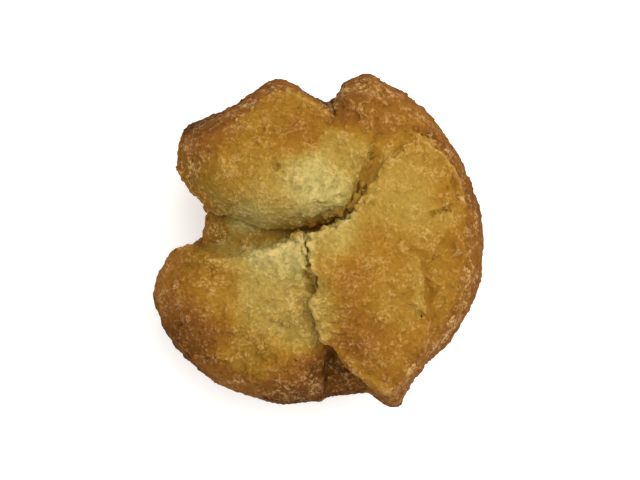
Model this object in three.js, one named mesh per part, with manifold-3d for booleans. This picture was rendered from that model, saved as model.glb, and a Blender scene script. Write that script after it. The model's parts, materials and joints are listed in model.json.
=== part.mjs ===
// A sata andagi: a ball of deep-fried dough whose crust has burst at the top into three lobes.
// Millimetres, +Z up. The origin is on the table, under the middle of the doughnut's bounding box.
import * as THREE from "three";
import { ImprovedNoise } from "three/addons/math/ImprovedNoise.js";
import { mergeVertices } from "three/addons/utils/BufferGeometryUtils.js";
import Module from "manifold-3d";

// The ball below the burst
const BALL_RADIUS = 30; // at its girth, seen from above
const GIRTH_HEIGHT = 26; // where it is widest
const BALL_FULLNESS = 0.65; // 1 is a plain ellipse, less is a fuller bottom
const AXIS = new THREE.Vector2(5, -2.5); // off the middle, because the lobes open to the left
const FOOT = new THREE.Vector2(2, -2); // the spot that it rests on, under its weight
const FOOT_CUT = 0.8; // how much of the round bottom is flattened

// The top of the dough
const CROWN_HEIGHT = 45; // under the flap, on the axis
const DOME_FALL = 7; // from the crown to the ball's radius
const SHOULDER_WIDTH = 8; // the rounded turn from the lip up to the top
const FLARE_POWER = 1.4; // higher keeps the lobes' outward curl nearer the lip

// The crumb inside, which shows at the bottom of the splits
const CORE_CENTRE = new THREE.Vector2(4.8, -3.5);
const CORE_RADIUS = 29.4;
const CORE_RISE = 9; // its top above the girth
const CORE_BASE = 1; // its lowest point, above the ball's

// The torn flap that covers the right lobe and overhangs the lower one
const FLAP_HEART = new THREE.Vector2(13, -5);
const FLAP_THICKNESS = 3.4; // at its edge
const FLAP_RISE = 3.3; // above the dough at its torn corner
const FLAP_FALL = 0.05; // how much less that is for each millimetre away from the corner
const FLAP_ROUND = 0.12; // share of the way to the heart that its edge is rounded over
const FLAP_DEPTH = 9; // how far its root reaches down into the dough

// Unevenness: height and wavelength of the lumps in the crust and in the torn crumb
const CRUST_LUMPS = [
  { height: 0.9, length: 17 },
  { height: 0.45, length: 7 },
];
const CRUMB_LUMPS = [
  { height: 1.1, length: 6.5 },
  { height: 0.6, length: 3.8 },
];
const NOISE_SHIFT = 7; // between lumps of two lengths, so that they don't line up

// Facets
const WALL_SHARE = 0.4; // of the ball's rings, from its foot to its lip
const TOP_RINGS = 1.3; // higher crowds the top's rings towards the lip
const BROW_STEPS = 80;
const WELD = 1e-4; // corners this close are one
const BALL_FACETS = { around: 98, up: 35 };
const CORE_FACETS = { around: 56, up: 30 };
const FLAP_FACETS = { around: 66, up: 18 };
const SPLIT_FACETS = { along: 40, across: 2, deep: 8 };

// The lip of the burst: bearing round the ball's axis from +X in degrees, reach from it, and height.
const LIP = [
  // the right lobe's flank, which is the ball's own girth, and its upper horn
  [5, 30.2, 26.5],
  [30, 31.5, 27],
  [52, 33.9, 28],
  [70, 35.8, 29.5],
  [82, 38, 30],
  [89, 36.2, 30],
  // the notch, then the upper lobe's apex and outer corner
  [94.5, 31.9, 30],
  [101, 33.6, 31],
  [110.5, 38.4, 32],
  [128, 38, 31.5],
  [143, 42, 31.5],
  [152, 39.8, 31.5],
  [164, 37, 31],
  // the lower lobe's tip and long outer edge
  [179, 36.5, 30],
  [192, 41.6, 28.5],
  [201, 41.5, 28],
  [211, 41.2, 28],
  [228, 38.4, 27.5],
  [245, 35.3, 27],
  [259, 32.4, 27],
  // the right lobe's lower horn
  [275, 31.2, 27.5],
  [282.5, 31.4, 28],
  [288.5, 34.8, 28.5],
  [298, 31.5, 28],
  [313, 29.2, 27.5],
  [336, 29.7, 26.5],
];

// Swells of the top above its dome: place, rise and spread
const SWELLS = [
  { x: -3, y: 13, rise: 2.5, spread: 7 }, // the upper lobe's pale mound
  { x: -18, y: 23, rise: 7, spread: 11 }, // its outer half
  { x: 9, y: 29, rise: 4.5, spread: 8 }, // the right lobe's upper horn
  { x: 16, y: -29, rise: 3.5, spread: 7 }, // its lower horn
  { x: -8, y: -5, rise: 2.4, spread: 6 }, // the lower lobe's torn edge
  { x: -28, y: -11, rise: 3.6, spread: 8 }, // its tip
];

// The flap's outline: along the torn edge over the middle, round the outer ledge and back up the overhang
const FLAP_OUTLINE = [
  [-1.7, 0.4],
  [0.4, 2.2],
  [3.6, 3.2],
  [7.3, 5.2],
  [9.8, 9.8],
  [12.4, 14.8],
  [16, 19],
  [21.5, 21.4],
  [26, 18],
  [28.5, 12],
  [28.6, 5.5],
  [26, 0],
  [23.2, -5],
  [22.6, -12],
  [23.6, -20],
  [19.5, -27.5],
  [15.2, -32.6],
  [10.4, -29.8],
  [4.8, -26.6],
  [1.8, -21.5],
  [-0.2, -13],
  [-1.2, -6],
];

// The splits, each a line of [x, y, left, right, floor, drop]: half its width to either side of the line,
// the height of its floor, and how far the lobe on its left has rounded down where it meets it.
const SPLITS = [
  // the wide split between the upper and lower lobes: its mouth, its narrow end in the middle, and the
  // shallow channel that it turns into between the upper lobe and the flap
  [
    [-40, 3.5, 30, 20, 8, 6],
    [-35, 3.5, 24, 12.5, 8, 6],
    [-32, 3.5, 17, 8, 8, 6],
    [-29.5, 3.5, 10.5, 5.6, 8, 7.5],
    [-27, 3.4, 5.8, 4.8, 8, 8],
    [-23, 2, 3.6, 4.6, 13, 9],
    [-18, 0.2, 3.8, 4.3, 22, 10],
    [-12, -0.1, 2, 2.6, 26, 10],
    [-6, 0.7, 1.1, 1.6, 32, 9],
    [-1, 1.9, 0.7, 0.9, 36, 7.5],
    [4, 3.7, 0.7, 0.9, 39, 4.5],
    [7.2, 7.2, 1, 1.8, 41.4, 1],
    [9.2, 12, 1.3, 2.3, 41.8, 0],
    [11, 16.5, 1.3, 2.7, 42, 0],
    [13, 20, 0.5, 2.2, 43, 0],
  ],
  // the gap at the front and the split that it leads to, under the flap's overhang
  [
    [6.5, -40, 8, 8, 20, 1.5],
    [5.6, -32, 5, 5, 20, 3],
    [4, -27, 3.2, 3, 20, 4],
    [2.6, -21, 0.6, 1, 35.5, 5],
    [1.6, -14, 0.6, 1.2, 38, 5],
    [1.1, -9.5, 0.6, 1, 40.6, 3],
    [0.8, -6, 0.5, 1, 43, 0.8],
    [0, 1.5, 0.5, 0.8, 43, 0],
  ],
  // the notch between the upper lobe and the right lobe's horn
  [
    [2.6, 38, 0.9, 0.9, 27, 0],
    [2.6, 30, 0.6, 0.6, 30, 0],
    [3.1, 25.2, 0.4, 0.4, 37, 0],
  ],
];
const SPLIT_TOP = 50; // above every lobe
const SPLIT_TIP = 0.25; // share of its width that is left at a split's floor
const SPLIT_OPEN = 0.2; // share of the way up at which it has its full width
const BROW_WIDTH = 6.5; // over which a lobe rounds down to a split

const noise = new ImprovedNoise();
const wasm = await Module();
wasm.setup();

// The height of the given lumps at a point.
function lumps(kinds, p) {
  return kinds.reduce((sum, { height, length }, i) => {
    const shifted = p.z / length + NOISE_SHIFT * i;
    return sum + height * noise.noise(p.x / length, p.y / length, shifted);
  }, 0);
}

// A geometry's corners, welded into one closed solid.
function solidOf(geometry) {
  geometry.deleteAttribute("normal");
  geometry.deleteAttribute("uv");
  const welded = mergeVertices(geometry, WELD);
  return new wasm.Manifold(
    new wasm.Mesh({
      numProp: 3,
      vertProperties: welded.attributes.position.array,
      triVerts: new Uint32Array(welded.index.array),
    }),
  );
}

// A solid's facets as a geometry to show.
function geometryOf(solid) {
  const mesh = solid.getMesh();
  const geometry = new THREE.BufferGeometry();
  geometry.setAttribute("position", new THREE.BufferAttribute(mesh.vertProperties, 3));
  geometry.setIndex(new THREE.BufferAttribute(mesh.triVerts, 1));
  geometry.computeVertexNormals();
  return geometry;
}

// A sphere whose corners are carried to place(u, v): u runs once round, v from the bottom to the top.
function carriedSphere({ around, up }, place) {
  const sphere = new THREE.SphereGeometry(1, around, up);
  const { position, uv } = sphere.attributes;
  for (let i = 0; i < position.count; i++) {
    const { x, y, z } = place(uv.getX(i), uv.getY(i));
    position.setXYZ(i, x, y, z);
  }
  return solidOf(sphere);
}

// A quarter circle's rise, from 0 steeply up to a level 1.
function rounded(share) {
  const left = 1 - Math.min(share, 1);
  return Math.sqrt(1 - left * left);
}

function smooth(share) {
  return THREE.MathUtils.smoothstep(share, 0, 1);
}

// A split's line as curves: its floor's middle, and its two half widths and drop.
function splitCurves(line) {
  return {
    path: new THREE.CatmullRomCurve3(line.map(([x, y, , , floor]) => new THREE.Vector3(x, y, floor))),
    sides: new THREE.CatmullRomCurve3(
      line.map(([, , left, right, , drop]) => new THREE.Vector3(left, right, drop)),
    ),
  };
}

// The direction to the left of a path, seen from above.
function leftOf(path, share) {
  const { x, y } = path.getTangent(share);
  return new THREE.Vector2(-y, x).normalize();
}

// Places along the left sides of the splits that have a brow.
const BROWS = SPLITS.flatMap((line) => {
  const { path, sides } = splitCurves(line);
  const shares = Array.from({ length: BROW_STEPS + 1 }, (_, i) => i / BROW_STEPS);
  return shares.map((share) => {
    const { x, y } = path.getPoint(share);
    const { x: left, y: right, z: drop } = sides.getPoint(share);
    const away = leftOf(path, share);
    return { edge: new THREE.Vector2(x, y).addScaledVector(away, left), away, drop, width: left + right };
  });
}).filter(({ drop }) => drop > 0);

// How far the top has dropped at a plan point on a brow. The drop is carried on halfway over the split.
function browDrop(plan) {
  const nearest = BROWS.reduce((a, b) => (a.edge.distanceTo(plan) < b.edge.distanceTo(plan) ? a : b));
  const distance = nearest.edge.distanceTo(plan);
  const behind = plan.clone().sub(nearest.edge).dot(nearest.away) > 0;
  const share = behind ? distance / BROW_WIDTH : Math.max(0, (2 * distance) / nearest.width - 1);
  return nearest.drop * (1 - Math.sin((Math.min(share, 1) * Math.PI) / 2));
}

// The top of the dough at a plan point, before the splits and brows.
function topHeight(plan) {
  const out = plan.distanceTo(AXIS) / BALL_RADIUS;
  const dome = CROWN_HEIGHT - DOME_FALL * out * out;
  return SWELLS.reduce((z, { x, y, rise, spread }) => {
    const away = Math.hypot(plan.x - x, plan.y - y) / spread;
    return z + rise * Math.exp(-0.5 * away * away);
  }, dome);
}

// The whole dough before it split: a ball whose wall curls out to the lip, closed by its domed top.
function burstBall() {
  const lip = new THREE.CatmullRomCurve3(
    LIP.map(([bearing, reach, height]) => {
      const angle = THREE.MathUtils.degToRad(bearing);
      return new THREE.Vector3(AXIS.x + reach * Math.cos(angle), AXIS.y + reach * Math.sin(angle), height);
    }),
    true,
  );
  const wall = (edge, share) => {
    const slope = (share * Math.PI) / 2;
    const bearing = Math.atan2(edge.y - AXIS.y, edge.x - AXIS.x);
    const girth = new THREE.Vector3(
      AXIS.x + BALL_RADIUS * Math.cos(bearing),
      AXIS.y + BALL_RADIUS * Math.sin(bearing),
      GIRTH_HEIGHT,
    );
    const centre = FOOT.clone().lerp(AXIS, smooth(share));
    const radius = BALL_RADIUS * Math.sin(slope) ** BALL_FULLNESS;
    const point = new THREE.Vector3(
      centre.x + radius * Math.cos(bearing),
      centre.y + radius * Math.sin(bearing),
      GIRTH_HEIGHT * (1 - Math.cos(slope)),
    );
    point.addScaledVector(edge.clone().sub(girth), share ** FLARE_POWER);
    const outward = new THREE.Vector3(Math.cos(bearing), Math.sin(bearing), 0);
    return point.addScaledVector(outward, lumps(CRUST_LUMPS, point) * Math.sin(slope));
  };
  const top = (edge, share) => {
    const plan = new THREE.Vector2(edge.x, edge.y).lerp(FLAP_HEART, share ** TOP_RINGS);
    const inset = plan.distanceTo(new THREE.Vector2(edge.x, edge.y));
    const crown = topHeight(plan) - browDrop(plan);
    const z = THREE.MathUtils.lerp(edge.z, Math.max(edge.z, crown), rounded(inset / SHOULDER_WIDTH));
    const point = new THREE.Vector3(plan.x, plan.y, z);
    point.z += lumps(CRUMB_LUMPS, point) * smooth(inset / SHOULDER_WIDTH);
    return point;
  };
  return carriedSphere(BALL_FACETS, (u, v) => {
    const edge = lip.getPoint(u);
    const onTop = (v - WALL_SHARE) / (1 - WALL_SHARE);
    return onTop < 0 ? wall(edge, v / WALL_SHARE) : top(wall(edge, 1), onTop);
  });
}

// The crumb inside the ball, a little within its wall.
function core() {
  return carriedSphere(CORE_FACETS, (u, v) => {
    const bearing = 2 * Math.PI * u;
    const slope = (v - 0.5) * Math.PI;
    const rise = v < 0.5 ? GIRTH_HEIGHT - CORE_BASE : CORE_RISE;
    const point = new THREE.Vector3(
      CORE_CENTRE.x + CORE_RADIUS * Math.cos(slope) * Math.cos(bearing),
      CORE_CENTRE.y + CORE_RADIUS * Math.cos(slope) * Math.sin(bearing),
      GIRTH_HEIGHT + rise * Math.sin(slope),
    );
    const outward = new THREE.Vector3(Math.cos(bearing), Math.sin(bearing), 0);
    point.addScaledVector(outward, lumps(CRUST_LUMPS, point) * Math.cos(slope));
    point.z += lumps(CRUMB_LUMPS, point) * smooth(2 * v - 1);
    return point;
  });
}

// The torn flap: a thin-edged slab that follows the dough's top and stands proud of it.
function flap() {
  const outline = new THREE.CatmullRomCurve3(
    FLAP_OUTLINE.map(([x, y]) => new THREE.Vector3(x, y, 0)),
    true,
  );
  const corner = new THREE.Vector2(...FLAP_OUTLINE[0]);
  return carriedSphere(FLAP_FACETS, (u, v) => {
    const edge = outline.getPoint(1 - u);
    const share = (2 * v - 1) ** 2;
    const plan = new THREE.Vector2(edge.x, edge.y).lerp(FLAP_HEART, share);
    plan.addScalar(lumps(CRUMB_LUMPS, edge) * (1 - share));
    const crown = topHeight(plan) + FLAP_RISE - FLAP_FALL * plan.distanceTo(corner);
    const root = crown - THREE.MathUtils.lerp(FLAP_THICKNESS, FLAP_DEPTH, share);
    const round = rounded(share / FLAP_ROUND);
    const z = THREE.MathUtils.lerp(crown - FLAP_THICKNESS / 2, v < 0.5 ? root : crown, round);
    const point = new THREE.Vector3(plan.x, plan.y, z);
    point.z += lumps(CRUST_LUMPS, point) * round;
    return point;
  });
}

// A split: a box bent along its line, closing towards its floor, with ragged sides.
function split(line) {
  const { path, sides } = splitCurves(line);
  const { along, across, deep } = SPLIT_FACETS;
  const box = new THREE.BoxGeometry(1, 1, 1, along, across, deep);
  const { position } = box.attributes;
  for (let i = 0; i < position.count; i++) {
    const share = position.getX(i) + 0.5;
    const side = 2 * position.getY(i);
    const depth = position.getZ(i) + 0.5;
    const point = path.getPoint(share);
    const { x: left, y: right, z: drop } = sides.getPoint(share);
    point.z = THREE.MathUtils.lerp(point.z, SPLIT_TOP, depth);
    const half = side > 0 ? left : right;
    const open = half * THREE.MathUtils.lerp(SPLIT_TIP, 1, Math.min(1, depth / SPLIT_OPEN));
    const ragged = (lumps(CRUMB_LUMPS, point) * Math.min(1, half)) / (side > 0 ? 1 + drop : 1);
    const offset = leftOf(path, share).multiplyScalar(side * (open + ragged));
    position.setXYZ(i, point.x + offset.x, point.y + offset.y, point.z);
  }
  return solidOf(box);
}

// The table's room, which flattens the spot that the doughnut rests on.
function tableRoom() {
  const box = new THREE.BoxGeometry(4 * BALL_RADIUS, 4 * BALL_RADIUS, 2 * BALL_RADIUS);
  return solidOf(box.translate(0, 0, FOOT_CUT - BALL_RADIUS));
}

const dough = SPLITS.reduce((solid, line) => solid.subtract(split(line)), burstBall())
  .add(core())
  .add(flap())
  .subtract(tableRoom());

const crust = new THREE.MeshStandardMaterial({ color: 0xa87632, roughness: 0.75, metalness: 0 });
const doughnut = new THREE.Mesh(geometryOf(dough), crust);
doughnut.name = "doughnut";
const box = new THREE.Box3().setFromObject(doughnut);
doughnut.position.set(-(box.min.x + box.max.x) / 2, -(box.min.y + box.max.y) / 2, -box.min.z);

const sataAndagi = new THREE.Group();
sataAndagi.add(doughnut);

export default sataAndagi;
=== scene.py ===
# %% [markdown]
# # A sata andagi in Blender
# A sata andagi is a ball of sweet dough, fried slowly until its crust bursts at the top and opens into
# lobes. Its whole look is in its surface: a thin brown skin outside, and torn, sandy, yellow crumb where
# it burst. The solid has the form already, so this lesson copies it, roughens it as frying does, browns it
# from the rim inwards, and strews the loose crumbs over it.

# %% Load the solid
import json

import bpy
import numpy as np
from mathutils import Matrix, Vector, noise

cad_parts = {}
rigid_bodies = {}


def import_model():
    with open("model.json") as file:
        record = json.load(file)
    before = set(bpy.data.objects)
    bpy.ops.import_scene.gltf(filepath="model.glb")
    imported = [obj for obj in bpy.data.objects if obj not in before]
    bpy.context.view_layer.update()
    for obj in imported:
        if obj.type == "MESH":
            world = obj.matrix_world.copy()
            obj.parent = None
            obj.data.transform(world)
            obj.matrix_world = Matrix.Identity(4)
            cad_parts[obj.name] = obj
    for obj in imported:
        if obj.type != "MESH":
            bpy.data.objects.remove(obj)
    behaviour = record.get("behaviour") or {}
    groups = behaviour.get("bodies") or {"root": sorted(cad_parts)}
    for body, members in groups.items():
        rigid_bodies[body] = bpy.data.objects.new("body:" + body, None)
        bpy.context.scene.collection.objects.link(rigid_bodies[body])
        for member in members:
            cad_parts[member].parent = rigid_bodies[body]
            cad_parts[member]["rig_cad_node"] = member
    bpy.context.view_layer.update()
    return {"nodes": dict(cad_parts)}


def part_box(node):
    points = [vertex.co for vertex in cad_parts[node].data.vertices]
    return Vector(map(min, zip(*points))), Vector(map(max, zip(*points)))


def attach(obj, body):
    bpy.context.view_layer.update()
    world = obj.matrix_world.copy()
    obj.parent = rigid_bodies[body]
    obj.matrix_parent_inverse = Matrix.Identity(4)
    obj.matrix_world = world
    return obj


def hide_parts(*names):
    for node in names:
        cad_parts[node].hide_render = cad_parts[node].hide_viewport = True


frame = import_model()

MM = 0.001  # sizes below are in millimetres, and Blender works in metres
low, high = (np.array(corner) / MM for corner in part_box("doughnut"))
print("doughnut, mm:", np.round(high - low, 1))

# %% [markdown]
# ## The camera
# The picture is taken from straight above, from far enough away that the lobes hardly lean outwards.
# A wide lens near by would frame the same, but draw what is high too large, so a long one is used.
# Its focal length follows from the width of the picture at the height of the lobes' rims.

# %% Camera
PICTURE_WIDTH = 134.9  # what the frame takes in, at the rims
RIM_HEIGHT = 31
CAMERA_DISTANCE = 600  # above the rims
PICTURE_CENTRE = (0.31, 0.12)

bpy.ops.object.select_all(action="DESELECT")
bpy.ops.object.camera_add(
    location=Vector((*PICTURE_CENTRE, RIM_HEIGHT + CAMERA_DISTANCE)) * MM, rotation=(0, 0, 0)
)
camera = bpy.context.object
camera.name = "camera"
camera.data.lens = camera.data.sensor_width * CAMERA_DISTANCE / PICTURE_WIDTH
bpy.context.scene.camera = camera
print("lens, mm:", round(camera.data.lens))

# %% [markdown]
# ## Floor and light
# The doughnut lies on white, in light that comes softly from all round, a little more from the upper right.
# Several lamps could give that, but each would cast its own shadow. Here a white world gives the soft part,
# and one large area light gives the direction, which shapes the lobes.
# The Standard view keeps the colours as they are mixed, where a filmic one would dull the yellows.


# %% One function for colours
def linear(hex_colour):
    """The linear RGBA of an sRGB hex colour."""
    shares = [int(hex_colour[i : i + 2], 16) / 255 for i in (1, 3, 5)]
    return (*[s / 12.92 if s <= 0.04045 else ((s + 0.055) / 1.055) ** 2.4 for s in shares], 1)


# %% Floor
FLOOR_SIZE = 3000
FLOOR_GLOW = 0.25  # of the light table under the paper, which takes the shadow away
PAPER = "#f8f7f4"
WHITE = "#ffffff"

bpy.ops.object.select_all(action="DESELECT")
bpy.ops.mesh.primitive_plane_add(size=FLOOR_SIZE * MM)
floor = bpy.context.object
floor.name = "floor"
# uncoated paper is matt: its fibres spread the light all round and leave the eye no highlight
paper = bpy.data.materials.new("white_paper")
paper.use_nodes = True
paper_shader = paper.node_tree.nodes["Principled BSDF"]
paper_shader.inputs["Base Color"].default_value = linear(PAPER)
paper_shader.inputs["Roughness"].default_value = 0.9
paper_shader.inputs["Emission Color"].default_value = linear(WHITE)
paper_shader.inputs["Emission Strength"].default_value = FLOOR_GLOW
floor.data.materials.append(paper)
print("floor, mm:", FLOOR_SIZE)

# %% Light
LAMP_PLACE = (190, 160, 650)
LAMP_SIZE = 500
LAMP_POWER = 3.7  # watts
SKY_STRENGTH = 0.9

bpy.ops.object.light_add(type="AREA", location=Vector(LAMP_PLACE) * MM)
lamp = bpy.context.object
lamp.name = "soft_lamp"
lamp.data.size = LAMP_SIZE * MM
lamp.data.energy = LAMP_POWER
lamp_aim = Vector((0, 0, RIM_HEIGHT)) - Vector(LAMP_PLACE)
lamp.rotation_euler = lamp_aim.to_track_quat("-Z", "Y").to_euler()

sky = bpy.data.worlds.new("white_room")
sky.use_nodes = True
sky.node_tree.nodes["Background"].inputs["Color"].default_value = linear(WHITE)
sky.node_tree.nodes["Background"].inputs["Strength"].default_value = SKY_STRENGTH
bpy.context.scene.world = sky
bpy.context.scene.view_settings.view_transform = "Standard"
print("lamp, mm away:", round(lamp_aim.length))

# %% [markdown]
# ## The dough, from the solid
# The solid is a shell of loose triangles of about 2 mm, far too coarse for crumbs.
# It could be subdivided, but its triangles are uneven, and the crumbs would come out larger where they are
# large. A voxel remesh makes an even skin of small squares instead, and a smooth takes off the facets.


# %% A modifier, as by hand
def apply_modifier(kind, **settings):
    """Adds a modifier to the active object, sets it and applies it."""
    bpy.ops.object.modifier_add(type=kind)
    modifier = bpy.context.object.modifiers[-1]
    for name, value in settings.items():
        setattr(modifier, name, value)
    bpy.ops.object.modifier_apply(modifier=modifier.name)


# %% Copy and remesh
MERGED = 0.001  # points nearer to each other than this become one
VOXEL = 0.3
SMOOTH_SHARE = 0.5
SMOOTH_TIMES = 6

bpy.ops.object.select_all(action="DESELECT")
solid = frame["nodes"]["doughnut"]
solid.select_set(True)
bpy.context.view_layer.objects.active = solid
bpy.ops.object.duplicate()
dough = bpy.context.object
dough.name = "dough"
bpy.ops.object.parent_clear(type="CLEAR_KEEP_TRANSFORM")
del dough["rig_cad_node"]

bpy.ops.object.mode_set(mode="EDIT")
bpy.ops.mesh.select_all(action="SELECT")
bpy.ops.mesh.remove_doubles(threshold=MERGED * MM)
bpy.ops.object.mode_set(mode="OBJECT")

apply_modifier("REMESH", mode="VOXEL", voxel_size=VOXEL * MM, use_smooth_shade=True)
apply_modifier("SMOOTH", factor=SMOOTH_SHARE, iterations=SMOOTH_TIMES)
print("dough after the remesh:", len(dough.data.polygons), "faces")

# %% [markdown]
# ## Where the skin ends
# From above, the brown skin is a band along the rim, a few millimetres wide, and all of the outside below.
# Inside that band the dough is torn. The band could be painted as a mask. Here it has a width on each
# bearing from the middle, which a number changes, and it is measured in from the outline. The outline is
# read off the mesh, as the farthest point on each bearing. The band's border is ragged, as the skin broke.


# %% Measure the mesh
def points_of(piece):
    """A mesh's vertices, in millimetres, and their normals."""
    places = np.empty(len(piece.data.vertices) * 3)
    normals = np.empty_like(places)
    piece.data.vertices.foreach_get("co", places)
    piece.data.vertices.foreach_get("normal", normals)
    return places.reshape(-1, 3) / MM, normals.reshape(-1, 3)


def smoothstep(start, end, values):
    """How far values are on the way from start to end, from 0 to 1, with a soft start and end."""
    share = np.clip((values - start) / (end - start), 0, 1)
    return share * share * (3 - 2 * share)


def waves(points, length):
    """Smooth noise from -1 to 1 at each point."""
    return np.array([noise.noise(Vector(point) / length) for point in points])


# %% Measure in from the outline
MIDDLE = np.array([5.1, -2.2])  # near where the lobes meet
BEARING_STEP = 2  # degrees


def inset_of(points):
    """How far points are inside the doughnut's outline, and on what bearing from its middle."""
    bearings = np.degrees(np.arctan2(points[:, 1] - MIDDLE[1], points[:, 0] - MIDDLE[0])) % 360
    reaches = np.hypot(*(points[:, :2] - MIDDLE).T)
    sectors = (bearings // BEARING_STEP).astype(int)
    steps = np.arange(360 // BEARING_STEP)
    outline = np.array([reaches[sectors == step].max() for step in steps])
    sector_middles = (steps + 0.5) * BEARING_STEP
    return np.interp(bearings, sector_middles, outline, period=360) - reaches, bearings


# %% The band of skin along the rim
RIM_BAND = np.array([  # bearing, width, tone from 0 pale to 1 dark, and how flaky it is
    # the right lobe
    (0, 4.6, 0.83, 1), (20, 4.6, 0.87, 0.9), (40, 3.8, 0.82, 1.1), (65, 3.5, 0.78, 0.9),
    # its horn, and the notch
    (80, 6, 0.8, 0.8), (88, 7, 0.87, 0.9), (96, 3, 0.95, 0.4),
    # the upper lobe
    (112, 2.6, 0.86, 0.9), (130, 3.6, 0.87, 0.9), (141, 5, 0.93, 0.4), (150, 6, 0.72, 1), (163, 5, 0.66, 1),
    # the split
    (180, 5, 0.7, 0.7),
    # the lower lobe
    (192, 6, 0.76, 0.8), (205, 6, 0.91, 0.4), (230, 5, 0.84, 0.6), (250, 5.5, 0.92, 0.8),
    # the gap at the front
    (268, 6, 0.92, 0.7), (280, 5, 0.86, 0.4),
    # the flap's tip, and the right lobe's lower part
    (290, 4, 0.82, 0.9), (320, 3.5, 0.82, 1.2),
])
SKIN_EDGE = 0.35  # how softly the band ends
SKIN_RAGS = [(3.6, 1.2), (1.3, 0.8)]  # length and reach of the tears in its border
UNDERSIDE = (23, 27)  # heights between which the skin below ends, inside the band
UNDERSIDE_TONE = 0.82
SIDES = (5, 33)  # heights between which the even, smooth skin underneath turns into that of the rim


def skin_of(points):
    """How much of each point is skin, from 0 to 1, and the tone and flakiness of the skin there."""
    inset, bearings = inset_of(points)
    stations, *columns = RIM_BAND.T
    band, tone, flaky = (np.interp(bearings, stations, column, period=360) for column in columns)
    for length, reach in SKIN_RAGS:
        band += reach * waves(points, length)
    skin = 1 - smoothstep(band - SKIN_EDGE, band + SKIN_EDGE, inset)
    skin = np.maximum(skin, 1 - smoothstep(*UNDERSIDE, points[:, 2]))
    rim = smoothstep(*SIDES, points[:, 2])
    return skin, UNDERSIDE_TONE + rim * (tone - UNDERSIDE_TONE), flaky * rim


places, normals = points_of(dough)
skin, *_ = skin_of(places)
print("skin covers", round(100 * skin.mean()), "% of the points")

# %% [markdown]
# ## Cracks and crests
# Some marks are this doughnut's own: the bottoms of its splits, a cleft beside the flap, cracks, a
# pit, crumb that fills a gap, and edges that stand up. A sculpting brush could draw them. Here each is a
# line in plan with a half width, a height and a tone, so that it is easy to move. The points near it get a
# weight, and a Displace modifier without a texture pushes them in or out along their normals, as the brush
# would. Later the same lines are browned, darkened with painted shade in the splits and cracks, or kept
# pale.

# %% Weights by lines
LEAST_WEIGHT = 0.01  # points with less stay out of a group


def weigh(piece, name, weights):
    """Keeps a weight for each vertex as a vertex group."""
    group = piece.vertex_groups.new(name=name)
    for i in np.flatnonzero(weights > LEAST_WEIGHT):
        group.add([int(i)], float(weights[i]), "REPLACE")


def near_line(points, line):
    """Distances in plan from points to a line."""
    away = np.full(len(points), np.inf)
    for start, end in zip(np.array(line), np.array(line)[1:]):
        along = end - start
        share = np.clip((points[:, :2] - start) @ along / (along @ along), 0, 1)
        away = np.minimum(away, np.hypot(*(points[:, :2] - start - share[:, None] * along).T))
    return away


# %% Nearness to marks
UNEVENNESS = 0.6  # of a mark's width, which varies as that of a tear does
UNEVEN_LENGTH = 1.3
TOP = (27, 31)  # heights between which the marks set in


def near_marks(points, marks):
    """How near points of the top are to each mark, from 0 to 1."""
    uneven = 1 + UNEVENNESS * waves(points, UNEVEN_LENGTH)
    on_top = smoothstep(*TOP, points[:, 2])
    return [
        np.exp(-((near_line(points, line) / (width * uneven)) ** 2)) * on_top for line, width, *_ in marks
    ]


# %% Bottoms and cracks
# each mark has a line, a half width, a height, a tone, and how much of that tone it takes
# their tones are partly brown dough and partly painted shade, where the splits lie in shadow
BOTTOMS = [
    # the split between the upper and the lower lobe
    ([(-17, 0.2), (-12, 0.5), (-6.5, 1.6), (-1.6, 2.8), (3, 4.6)], 1.7, 0, 0.5, 0.9),
    # the channel beside the flap
    ([(7.3, 7.4), (8.8, 11), (10, 14), (11.6, 17.4)], 1.4, 0, 0.62, 0.8),
]
# their dark tones are partly brown crust and partly painted shade in the cuts
CRACKS = [
    # the cleft beside the flap
    ([(-2.8, -6.4), (-1.5, -8.4), (-0.7, -10.8)], 0.4, -0.2, 0.66, 0.7),
    # the short crack near the flap's ledge
    ([(23.6, 5.6), (26.2, 6.5), (28.4, 7.3)], 0.32, -0.9, 0.74, 0.6),
    # the crevice at the flap's upper end
    ([(15.4, 18), (16.8, 19.4)], 0.5, -1.0, 0.7, 0.5),
    # the foot of the flap's ledge, painted as the shadow line below it
    ([(19.6, -2), (22.2, -3.3), (22.9, -9.4), (23.1, -15.9)], 0.5, -0.9, 0.74, 0.5),
    # the groove inside the right lobe's rim
    (
        [(20, 23.4), (24.1, 21.9), (26.7, 18.9), (29.1, 16), (30.6, 12), (31.6, 7.3)],
        0.8, -0.9, 0.9, 0.7,
    ),
    # the pit in the upper lobe
    ([(-8.9, 15.2), (-8.5, 15.4)], 0.5, -1.0, 0.75, 0.6),
]

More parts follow.
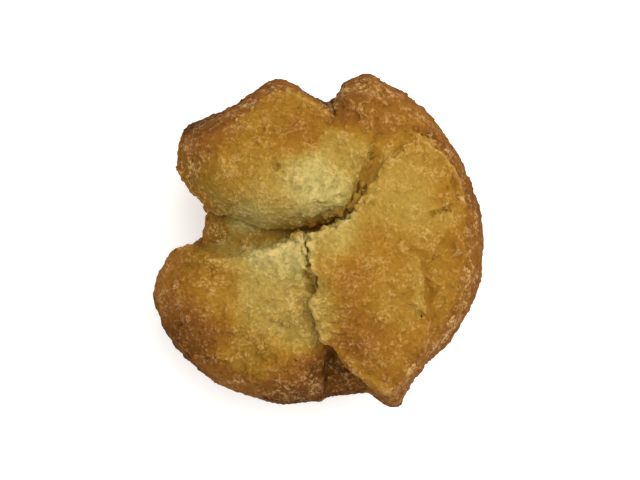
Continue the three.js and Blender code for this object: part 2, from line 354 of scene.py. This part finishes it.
# %% Crumb and edges
FILLINGS = [
    # crumb between the lower lobe and the flap's upper corner
    ([(-3.8, -0.9), (-3.6, -4.8)], 1.7, 2.4, 0.15, 0.5),
    # crumb under the flap's overhang
    ([(-0.9, -12), (0.3, -17), (1.2, -20)], 1.5, 2.4, 0.35, 0.4),
    # crumb raised in the split's narrow end, painted dark as the crack's shade
    ([(-1.6, 2.8), (3, 4.6), (5.5, 6.2)], 0.7, 0.4, 0.92, 0.6),
    # crumb raised in the notch, painted dark as the crease's shade
    ([(2.7, 30.5), (2.9, 27.5), (2.6, 24.6)], 0.7, 0.9, 0.92, 0.75),
]
EDGES = [
    # beside the groove inside the right lobe's rim
    (
        [(19.6, 22.5), (23.3, 21), (25.6, 18.1), (27.9, 15.2), (29.4, 11.6), (30.4, 7.1)],
        0.5, 0.6, 0.42, 0.6,
    ),
    # the flap's ledge
    ([(20.2, -3.6), (20.8, -9.4), (20.6, -14)], 1.2, 0.5, 0.36, 0.5),
    # the flap's lower edge
    ([(4.2, -22.8), (11, -29), (14.4, -31)], 1.2, 0, 0.38, 0.55),
    # the edge of the upper lobe's skin
    ([(-6.4, 31.3), (-3.5, 29.9), (-0.1, 28), (1.8, 26.4)], 0.4, 1.0, 0.25, 0.8),
    # the flap's side edge
    ([(-0.2, -12.5), (-0.6, -8), (-1.4, -4), (-1.6, -0.5)], 0.8, 0.9, 0.28, 0.6),
]
TORN_EDGES = [
    # crumb in the channel
    ([(9.9, 11.3), (9, 9.2), (7.9, 7.2)], 1.1, 1.6, 0.42, 0.6),
    # the lower lobe's ridge
    ([(-13, -3.2), (-9.7, -2.4), (-6.5, -0.8), (-3.7, 0), (-1.8, 1)], 1.0, 0.7, 0.05, 0.8),
    # the flap's torn edge
    ([(-1.5, -4), (-1.6, 0.6), (3.6, 3.4), (7.3, 5.6)], 0.9, 0.4, 0.22, 0.7),
]

# %% Cut and raise them
MARKS = BOTTOMS + CRACKS + FILLINGS + EDGES + TORN_EDGES

nearness = near_marks(places, MARKS)
for name, way in (("cracks", -1), ("crests", 1)):
    heights = np.max([way * height * near for (_, _, height, *_), near in zip(MARKS, nearness)], axis=0)
    weigh(dough, name, heights / heights.max())
    apply_modifier("DISPLACE", strength=way * heights.max() * MM, mid_level=0, vertex_group=name)
print("made", len(MARKS), "marks")

# %% [markdown]
# ## Crumb
# Torn dough is broken into plates of a few millimetres at different heights, and those into clumps and
# sandy grains of two millimetres or less. The skin over it is a third of a millimetre thick and flatter,
# and the lobes' walls are calmer than their tops. Sculpting all that by hand would take days. Displace
# modifiers do it by weights: the skin rises by its thickness, each plate by a height of its own, and clumps
# and grains by procedural textures, with the roundest clumps along the torn edges.

# %% How torn it is
CALM = [  # where the crumb is smoother: x, y, spread and by how much
    (12, -5, 5, 0.5), (18, 8, 5, 0.5), (-21.4, -11.5, 3.5, 0.3), (-20, 1, 3, 0.5), (-18, 6, 3, 0.3),
]
WALLS = (0.75, 0.35)  # upward parts of the normals between which the lobes' flanks become walls
WALL_CALM = 0.6
EDGE_REACH = 1.6  # how far from a torn edge its clumps go


def gauss(points, x, y, spread):
    """How near points are to a place in plan, from 0 to 1."""
    return np.exp(-0.5 * ((points[:, 0] - x) ** 2 + (points[:, 1] - y) ** 2) / spread**2)


calm = sum(share * gauss(places, x, y, spread) for x, y, spread, share in CALM)
calm = np.maximum(calm, WALL_CALM * smoothstep(*WALLS, normals[:, 2]))
clumped = near_marks(places, [(line, EDGE_REACH) for line, *_ in TORN_EDGES])
weigh(dough, "torn", (1 - skin) * (1 - calm))
weigh(dough, "skin", skin)
weigh(dough, "edges", np.max(clumped, axis=0))
print("calm, mean:", round(calm.mean(), 2))

# %% Plates
PLATE_SIZE = 2.6
PLATE_BEND = 0.9  # how far the plates' borders wander
PLATE_BEND_LENGTH = 1.4
BEND_OFFSETS = (0, 40, 80)  # places in the noise that are far apart, for bends along x, y and z
SEED_SPREAD = 100  # which puts each plate's seed into another cell of the height noise
PLATE_SMOOTHING = 2  # times


def plates_of(points):
    """A height from 0 to 1 that is the same all over each plate: that of the nearest of scattered seeds."""
    bends = np.stack([waves(points + offset, PLATE_BEND_LENGTH) for offset in BEND_OFFSETS], axis=1)
    bent_points = (points + PLATE_BEND * bends) / PLATE_SIZE
    nearest = [noise.voronoi(Vector(point))[1][0] for point in bent_points]
    return np.array([noise.cell(SEED_SPREAD * seed) for seed in nearest])


def smoothed(piece, values, times):
    """Each vertex's values, averaged with its neighbours' a number of times."""
    edges = np.empty(2 * len(piece.data.edges), dtype=int)
    piece.data.edges.foreach_get("vertices", edges)
    ends, others = np.concatenate([edges.reshape(-1, 2), edges.reshape(-1, 2)[:, ::-1]]).T
    count = np.bincount(ends, minlength=len(values))
    for _ in range(times):
        values = np.stack([np.bincount(ends, column[others]) / count for column in values.T], axis=1)
    return values


plates = smoothed(dough, plates_of(places)[:, None], PLATE_SMOOTHING)[:, 0]
weigh(dough, "plates", plates * (1 - calm))
print("plates, mean height:", round(plates.mean(), 2))

# %% Raise skin, plates, clumps and grains
SKIN_THICKNESS = 0.3
PLATE_STEP = 0.75  # between the lowest plate and the highest
BUMPS = [  # group, basis, size, height, finer layers
    ("torn", "ORIGINAL_PERLIN", 2.4, 1.7, 2),
    ("skin", "ORIGINAL_PERLIN", 2.6, 1.1, 2),
    ("edges", "VORONOI_F1", 1.8, -1.6, 0),
    ("torn", "VORONOI_F2_F1", 1.2, 0.6, 1),
    ("skin", "ORIGINAL_PERLIN", 0.9, 0.6, 1),
]

apply_modifier("DISPLACE", strength=SKIN_THICKNESS * MM, mid_level=0, vertex_group="skin")
apply_modifier("DISPLACE", strength=PLATE_STEP * MM, mid_level=0, vertex_group="plates")
apply_modifier("DISPLACE", strength=-PLATE_STEP / 2 * MM, mid_level=0)
for group, basis, size, height, layers in BUMPS:
    texture = bpy.data.textures.new(f"{group}_bumps", type="CLOUDS")
    texture.noise_basis = basis
    texture.noise_scale = size * MM
    texture.noise_depth = layers
    apply_modifier(
        "DISPLACE", texture=texture, texture_coords="LOCAL", direction="NORMAL",
        strength=height * MM, mid_level=0.5, vertex_group=group,
    )
print("raised bumps of", [size for _, _, size, _, _ in BUMPS], "mm")

# %% [markdown]
# ## Tops and pits
# The grains' tops catch the light and the pits between them lie in shade, and the material paints both.
# The material could ask the renderer for pointed places, but those depend on the size of the triangles,
# which is uneven after the next step. Here a point stands out by its distance from where it would be if its
# surroundings were smoothed, measured while the mesh is even, and kept for the material to read.


# %% Measure tops and pits
def keep(piece, name, values):
    """Keeps a value for each vertex, for the material to read."""
    attribute = piece.data.attributes.new(name, "FLOAT", "POINT")
    attribute.data.foreach_set("value", values.astype(np.float32))


SMOOTHING = 8  # times
FULL_RELIEF = 0.25  # counts as 1
DEEPEST = -0.4

places, normals = points_of(dough)
relief = ((places - smoothed(dough, places, SMOOTHING)) * normals).sum(axis=1) / FULL_RELIEF
keep(dough, "relief", np.clip(relief, DEEPEST, 1))
print("relief, spread:", round(relief.std(), 2))

# %% [markdown]
# ## Fewer triangles
# The fine mesh has far more triangles than it needs where it is smooth, as underneath. A coarser remesh
# would lose the grains too, so a Decimate modifier takes away those that matter least to the form.
# Then what the bumps have pushed past the solid's box is set back on it, which also leaves the flat spot
# that the doughnut rests on.

# %% Decimate and fit
TRIANGLES = 195_000

apply_modifier("DECIMATE", ratio=TRIANGLES / (2 * len(dough.data.polygons)))
places, normals = points_of(dough)
places = np.clip(places, low, high)
dough.data.vertices.foreach_set("co", (places * MM).ravel())
dough.data.update()
bpy.ops.object.shade_smooth()
print("dough after thinning:", len(dough.data.polygons), "faces")

# %% [markdown]
# ## Browning
# Frying browns what is out first and longest. The skin is brown, the flap and the lobes' outer halves are
# golden, and what tore open last is pale. Painting it by hand would do. Here each tone is a patch with a
# place and a spread, which a number changes, and a point takes the tones of the patches near it.
# The skin goes over them, and the marks over both. Painted shade, in hollows that the flap and the lobes
# shade, is placed in the same way, and how flaky the dough is follows from its tone and its skin.

# %% Patches of tone
PATCHES = [  # x, y, spread, tone from 0 pale to 1 dark
    # the upper lobe: its pale mound, golden middle, brown corner and shaded flank
    (-2, 10.5, 4, 0.12), (-10, 9.5, 4, 0.4), (-16.5, 16, 4, 0.5), (-10.6, 25.4, 4, 0.59),
    (-4.3, 22.2, 2.5, 0.7), (-24.5, 21.3, 2.5, 0.92), (-19.9, 23.8, 2.5, 0.8), (-26.7, 15, 3, 0.65),
    (-21.8, 8.5, 3, 0.42), (-13.4, 4, 3, 0.05), (5.6, 19, 3, 0.36),
    # the crumb in the split
    (-20, 1, 3, 0.22),
    # the lower lobe: its torn ridge, pale middle, golden patch and brown rim
    (-7, -3, 3, 0.13), (-10, -12.5, 4, 0.3), (-21.4, -11.5, 3, 0.54), (-2.2, -16.8, 3, 0.32),
    (-32.4, -9.4, 3, 0.75), (-27, -20, 4, 0.86), (-14.4, -25.2, 4, 0.52), (-7, -31, 3, 0.85),
    (-25, -3.7, 3, 0.62),
    # the flap: its torn edge, golden plate and brown mottles
    (2.4, 0.1, 2.5, 0.28), (12, -6.2, 4, 0.57), (6.6, -8.3, 2.5, 0.7), (9.2, -19.3, 3, 0.74),
    (17.2, -12.5, 4, 0.5), (16, -25.2, 3.5, 0.64), (0.7, -10.4, 1.5, 0.36), (1.2, -4.4, 2, 0.5),
    (19.3, 11.7, 5, 0.41), (15.7, -32, 2.5, 0.88),
    # the right lobe's ledge, rim and horn
    (25.6, -5.2, 3, 0.55), (32, -4, 3, 0.7), (28.8, 14.9, 3, 0.62), (9.8, 28.6, 4, 0.74),
    (5.7, 26.7, 2, 0.88), (20.3, 24.3, 3, 0.64), (25.6, -18.9, 3, 0.66), (26.2, 9.2, 1.3, 0.66),
    # the gap at the front: brown crust, darkened further as painted shade under the flap's edge
    (4, -27, 3, 0.93),
]
FAINTEST = 1e-9  # what the patches weigh together at least, which keeps the division safe
SKIN_OPACITY = 0.85
EDGE_TONE = 0.1  # darker towards the outline
EDGE_WIDTH = 2.5


def browning_of(points):
    """The tone of the dough at each point."""
    weights = np.full(len(points), FAINTEST)
    tones = np.zeros(len(points))
    for x, y, spread, tone in PATCHES:
        near = gauss(points, x, y, spread)
        weights += near
        tones += near * tone
    tones /= weights
    skin, crust, _ = skin_of(points)
    crust += EDGE_TONE * (1 - smoothstep(0, EDGE_WIDTH, inset_of(points)[0]))
    tones += SKIN_OPACITY * skin * (crust - tones)
    # the marks' tones: brown crust and painted shade in the splits and cracks, pale crumb on the edges
    for (*_, tone, share), near in zip(MARKS, near_marks(points, MARKS)):
        tones += share * near * (tone - tones)
    return tones


# %% Painted shade in the hollows
SHADE_PATCHES = [  # hollows darkened as painted shade, where the flap and lobes shade them: x, y, spread and by how much
    (-2, -16, 3.5, 0.25), (0.5, -10, 2, 0.18), (-20, 1, 3, 0.36), (-21, 8, 4, 0.3), (-27, 14, 3, 0.3),
    (-25, -3.7, 3, 0.25), (-14.4, -25.2, 4, 0.2), (-13, -0.4, 2, 0.3), (-5, 1.8, 2, 0.3),
    (1.5, 4.4, 1.8, 0.4),
]


def painted_shade_of(points):
    """How much painted shade darkens the dough at each point."""
    rim = smoothstep(*SIDES, points[:, 2])
    return rim * sum(share * gauss(points, x, y, spread) for x, y, spread, share in SHADE_PATCHES)


# %% Flakes
FLAKES_MOST = 1.6  # in the palest crumb
FLAKES_LEAST = 0.55
FLAKES_PALE = 0.5  # the tone at which there would be none left
FLAKES_INSET = (0.3, 1.8)  # from the outline, between which the skin's flakes set in
FLAKE_CLUSTERS = 3.2
CLUSTER_NOISE = (-0.45, 0.45)  # between which a cluster sets in


def flakiness_of(points, tones):
    """How flaky the dough is: torn crumb more where it is pale, skin as its band says, both in clusters."""
    skin, _, flaky = skin_of(points)
    torn = np.maximum(FLAKES_LEAST, FLAKES_MOST * (1 - tones / FLAKES_PALE))
    clusters = smoothstep(*CLUSTER_NOISE, waves(points, FLAKE_CLUSTERS))
    edge = smoothstep(*FLAKES_INSET, inset_of(points)[0])
    return (torn + skin * (flaky * edge - torn)) * clusters


# %% Keep them with the points
tones = browning_of(places)
keep(dough, "browning", tones)
keep(dough, "flakiness", flakiness_of(places, tones))
# painted shade in the hollows that the flap, the lobes and the splits shade
keep(dough, "painted_shade", painted_shade_of(places))
print("browning from", round(tones.min(), 2), "to", round(tones.max(), 2))

# %% [markdown]
# ## Fried dough
# Dough that is fried in deep fat comes out dry and craggy. It is matt where it is torn, with a little fat
# in its skin, so the eye gets colour and relief, and only a broad, weak sheen. A picture could be wrapped
# round it, but would stretch in the splits. Here the browning picks its colour from one ramp, from pale
# yellow crumb over gold to dark brown, and mottles of a few millimetres keep it from being too even.


# %% One function for nodes
def add_node(tree, kind, links=None, **settings):
    """Adds a node, sets its properties, and links or sets its inputs."""
    node = tree.nodes.new(kind)
    for name, value in settings.items():
        setattr(node, name, value)
    for name, source in (links or {}).items():
        if isinstance(source, bpy.types.NodeSocket):
            tree.links.new(source, node.inputs[name])
        else:
            node.inputs[name].default_value = source
    return node


# %% Browning as a tone
MOTTLE_SIZE = 5
MOTTLE_TONE = 0.34  # how much the mottles change the tone of the darkest dough
PALE_SHARE = 0.14  # of that change in the palest crumb, which is more even

fried = bpy.data.materials.new("fried_dough")
fried.use_nodes = True
tree = fried.node_tree
coordinates = add_node(tree, "ShaderNodeTexCoord").outputs["Object"]
# the last attribute is the painted shade of the hollows
browning, standing_out, flakiness, painted_shade = (
    add_node(tree, "ShaderNodeAttribute", attribute_name=name).outputs["Fac"]
    for name in ("browning", "relief", "flakiness", "painted_shade")
)
unevenness = add_node(
    tree, "ShaderNodeMapRange", {"Value": browning, "To Min": PALE_SHARE, "To Max": 1.0}
).outputs["Result"]
mottles = add_node(
    tree, "ShaderNodeTexNoise",
    {"Vector": coordinates, "Scale": 1 / (MOTTLE_SIZE * MM), "Detail": 3.0, "Roughness": 0.65},
).outputs["Fac"]
mottle_tones = add_node(
    tree, "ShaderNodeMapRange", {"Value": mottles, "To Min": -MOTTLE_TONE / 2, "To Max": MOTTLE_TONE / 2}
).outputs["Result"]
tone = add_node(
    tree, "ShaderNodeMath", {0: mottle_tones, 1: unevenness, 2: browning}, operation="MULTIPLY_ADD"
).outputs[0]

# %% The tone as a colour
TONES = {
    0.0: "#b7aa6a", 0.15: "#ad9b57", 0.3: "#a48940", 0.45: "#9c762c", 0.58: "#92661d",
    0.7: "#895a1c", 0.82: "#7b4b1a", 0.92: "#633911", 1.0: "#44260c",
}

ramp = add_node(tree, "ShaderNodeValToRGB", {"Fac": tone})
stops = ramp.color_ramp.elements
while len(stops) < len(TONES):
    stops.new(0.5)  # anywhere, as its place comes next
for stop, (place, colour) in zip(stops, TONES.items()):
    stop.position = place
    stop.color = linear(colour)
print("tones:", len(stops))

# %% [markdown]
# Within one tone, the dough is lighter in specks and along the edges of flakes, where it is dry. It is
# lighter on grains' tops as a painted highlight, and darker in the pits and shaded hollows as painted
# shade.
# Flakes could all be modelled, but most are finer than the mesh, so a ridged noise draws their edges as a
# net of bent lines, broken by the specks. All of it adds up to one lightness, which mixes the tone with the
# colour of dry flakes and painted highlight where it is light, and with painted shade where it is dark.

# %% Specks and flakes
SPECK_SIZE = 0.6
FLAKE_SIZE = 1.9
FLAKE_BEND = 1.3  # how far the flakes' edges wander
FLAKE_LIGHT = 0.52
RIDGES = (0.6, 1.6)  # values of the ridged noise between which a flake's edge rises
BREAKS = (0.36, 0.56)  # values of the specks between which the edges set in

specks = add_node(
    tree, "ShaderNodeTexNoise",
    {"Vector": coordinates, "Scale": 1 / (SPECK_SIZE * MM), "Detail": 3.0, "Roughness": 0.65},
).outputs["Fac"]
bend = add_node(
    tree, "ShaderNodeTexNoise", {"Vector": coordinates, "Scale": 1 / (FLAKE_SIZE * MM), "Detail": 3.0}
).outputs["Color"]
bent = add_node(
    tree, "ShaderNodeVectorMath",
    {0: bend, 1: (FLAKE_BEND * MM,) * 3, 2: coordinates},
    operation="MULTIPLY_ADD",
).outputs[0]
ridges = add_node(
    tree, "ShaderNodeTexNoise",
    {
        "Vector": bent, "Scale": 1 / (FLAKE_SIZE * MM), "Detail": 4.0, "Roughness": 0.8,
        "Offset": 1.0, "Gain": 1.5,
    },
    noise_type="RIDGED_MULTIFRACTAL",
).outputs["Fac"]
flakes = add_node(
    tree, "ShaderNodeMapRange",
    {
        "Value": ridges, "From Min": RIDGES[0], "From Max": RIDGES[1],
        "To Min": -FLAKE_LIGHT / 2, "To Max": FLAKE_LIGHT,
    },
).outputs["Result"]
breaks = add_node(
    tree, "ShaderNodeMapRange", {"Value": specks, "From Min": BREAKS[0], "From Max": BREAKS[1]}
).outputs["Result"]
flecks = add_node(tree, "ShaderNodeMath", {0: flakes, 1: breaks}, operation="MULTIPLY").outputs[0]

# %% Dry flakes, painted highlight and painted shade
SPECK_LIGHT = 0.64
RELIEF_LIGHT = 0.24
DARKER = -0.09  # which takes back what the flakes lighten on the whole
# colour of dry flakes, and of the painted highlight on grains' tops
DRY_AND_HIGHLIGHT = "#d2b074"
# colour of the painted shade in the pits and the shaded hollows
PAINTED_SHADE_COLOUR = "#5e4613"

light = add_node(
    tree, "ShaderNodeMapRange",
    {"Value": specks, "To Min": DARKER - SPECK_LIGHT / 2, "To Max": DARKER + SPECK_LIGHT / 2},
).outputs["Result"]
# by their relief, grains' tops get a painted highlight and their pits painted shade
for source, share in ((standing_out, RELIEF_LIGHT), (flecks, flakiness)):
    light = add_node(
        tree, "ShaderNodeMath", {0: source, 1: share, 2: light}, operation="MULTIPLY_ADD"
    ).outputs[0]
# painted shade: the shade patches, deepened in the pits where the lightness is below 0
painted_shade_share = add_node(
    tree, "ShaderNodeMath", {0: painted_shade, 1: light}, operation="SUBTRACT", use_clamp=True
).outputs[0]
dried_and_lit = add_node(
    tree, "ShaderNodeMixRGB", {"Fac": light, "Color1": ramp.outputs["Color"], "Color2": linear(DRY_AND_HIGHLIGHT)}
).outputs["Color"]
colour = add_node(
    tree, "ShaderNodeMixRGB", {"Fac": painted_shade_share, "Color1": dried_and_lit, "Color2": linear(PAINTED_SHADE_COLOUR)}
).outputs["Color"]
print("nodes in the material so far:", len(tree.nodes))

# %% [markdown]
# Light goes a little way into dough and comes out beside where it went in, which softens the shadows.
# A paler colour would only lighten them, so this is left to the shader's subsurface part.
# A fine bump from the specks does what is too small for the mesh.

# %% Finish
SPECK_HEIGHT = 0.22
LIGHT_DEPTH = 1.2  # of red light, which goes deepest

bump = add_node(
    tree, "ShaderNodeBump", {"Height": specks, "Distance": SPECK_HEIGHT * MM, "Strength": 1.0}
).outputs["Normal"]
shader = tree.nodes["Principled BSDF"]
tree.links.new(colour, shader.inputs["Base Color"])
tree.links.new(bump, shader.inputs["Normal"])
shader.inputs["Roughness"].default_value = 0.8
shader.inputs["IOR"].default_value = 1.45
shader.inputs["Specular IOR Level"].default_value = 0.05
shader.inputs["Subsurface Weight"].default_value = 0.22
shader.inputs["Subsurface Radius"].default_value = (1.0, 0.8, 0.4)
shader.inputs["Subsurface Scale"].default_value = LIGHT_DEPTH * MM
dough.data.materials.clear()
dough.data.materials.append(fried)
print(dough.name, "is made of", fried.name)

# %% [markdown]
# ## Loose crumbs
# Frying shakes sandy crumbs loose, flat flakes of about a millimetre that stick all over the top.
# A particle system could strew them, but each has a tone near that of the dough under it, which is simpler
# to give in one mesh. A lump of twenty faces is modelled once. Arrays then flatten, size and turn it, and
# set it on the dough by seeded draws.

# %% One crumb
LUMP_UNEVENNESS = 0.14  # of a lump that is 1 across

bpy.ops.object.select_all(action="DESELECT")
bpy.ops.mesh.primitive_ico_sphere_add(subdivisions=1, radius=0.5)
lump = bpy.context.object
bpy.ops.object.mode_set(mode="EDIT")
bpy.ops.mesh.select_all(action="SELECT")
bpy.ops.transform.vertex_random(offset=LUMP_UNEVENNESS, seed=3)
bpy.ops.object.mode_set(mode="OBJECT")
lump_points = points_of(lump)[0] * MM  # in the lump's own unit
lump_faces = np.array([list(face.vertices) for face in lump.data.polygons])
bpy.ops.object.delete()
print("a crumb has", len(lump_faces), "faces")

# %% Places for them
CRUMBS = 8500
CRUMB_SIZES = (0.5, 1.3)
CRUMB_HEIGHTS = (10, 33)  # between which they set in
CRUMB_SLOPES = (-0.2, 0.3)  # upward parts of the normals between which they stay on
chance = np.random.default_rng(11)

dough.data.calc_loop_triangles()
corners = np.array([triangle.vertices for triangle in dough.data.loop_triangles])
areas = np.array([triangle.area for triangle in dough.data.loop_triangles])
facing = normals[corners].mean(axis=1)
room = CRUMB_SIZES[1] / 2
spots = places[corners].mean(axis=1)
open_spots = ((spots > low + room) & (spots < high - room)).all(axis=1)
odds = areas * smoothstep(*CRUMB_HEIGHTS, spots[:, 2])
odds = odds * smoothstep(*CRUMB_SLOPES, facing[:, 2]) * open_spots
chosen = chance.choice(len(spots), CRUMBS, p=odds / odds.sum())
print("places for crumbs:", np.count_nonzero(odds))

# %% Strew them
CRUMB_SHAPES = ((0.8, 1.4), (0.5, 0.9), (0.3, 0.5))  # of its size: length, width and thickness
CRUMB_TILT = 0.25
CRUMB_DEPTH = 0.1  # sunk into the dough

sizes = CRUMB_SIZES[0] + np.diff(CRUMB_SIZES) * chance.random(CRUMBS) ** 2  # squared, so most are small
shapes = np.stack([chance.uniform(*shape, CRUMBS) for shape in CRUMB_SHAPES], axis=1)
up = facing[chosen] + CRUMB_TILT * chance.normal(size=(CRUMBS, 3))
along = np.cross(up, chance.normal(size=(CRUMBS, 3)))
turns = np.stack([along, np.cross(up, along), up], axis=1)
turns /= np.linalg.norm(turns, axis=2, keepdims=True)
crumb_centres = spots[chosen] - CRUMB_DEPTH * facing[chosen]
crumb_points = crumb_centres[:, None] + (lump_points * (sizes[:, None] * shapes)[:, None]) @ turns
crumb_faces = lump_faces + len(lump_points) * np.arange(CRUMBS)[:, None, None]

crumb_mesh = bpy.data.meshes.new("crumbs")
crumb_mesh.from_pydata((crumb_points * MM).reshape(-1, 3), [], crumb_faces.reshape(-1, 3))
crumbs = bpy.data.objects.new("crumbs", crumb_mesh)
bpy.context.collection.objects.link(crumbs)
print("crumbs:", CRUMBS, "of", CRUMB_SIZES, "mm")

# %% Brown them
CRUMB_TONES = (-0.02, 0.06)  # mean and spread of the difference from the dough's tone
PALE_DIFFERENCE = 0.3  # how much of that difference there is where the dough's tone is 0

crumb_tones = tones[corners[chosen, 0]]
crumb_tones = crumb_tones + (PALE_DIFFERENCE + crumb_tones) * chance.normal(*CRUMB_TONES, CRUMBS)
# they keep no relief of their own, which the material then reads as 0
keep(crumbs, "browning", np.repeat(crumb_tones, len(lump_points)))
# the crumbs take the painted shade of the hollows they lie in
keep(crumbs, "painted_shade", np.repeat(painted_shade_of(spots[chosen]), len(lump_points)))
keep(crumbs, "flakiness", np.repeat(flakiness_of(spots[chosen], crumb_tones), len(lump_points)))
crumb_mesh.materials.append(fried)
print("crumbs' tones from", round(crumb_tones.min(), 2), "to", round(crumb_tones.max(), 2))

# %% [markdown]
# ## The pieces in the frame
# The doughnut is one rigid thing, so the dough and its crumbs ride its one body and stand for its solid.
# They could be joined, but one mesh of so many triangles would be thinned when it is exported.

# %% Hand over
for piece in (dough, crumbs):
    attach(piece, "root")
    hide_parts("doughnut")
    print(piece.name, "triangles:", sum(len(face.vertices) - 2 for face in piece.data.polygons))
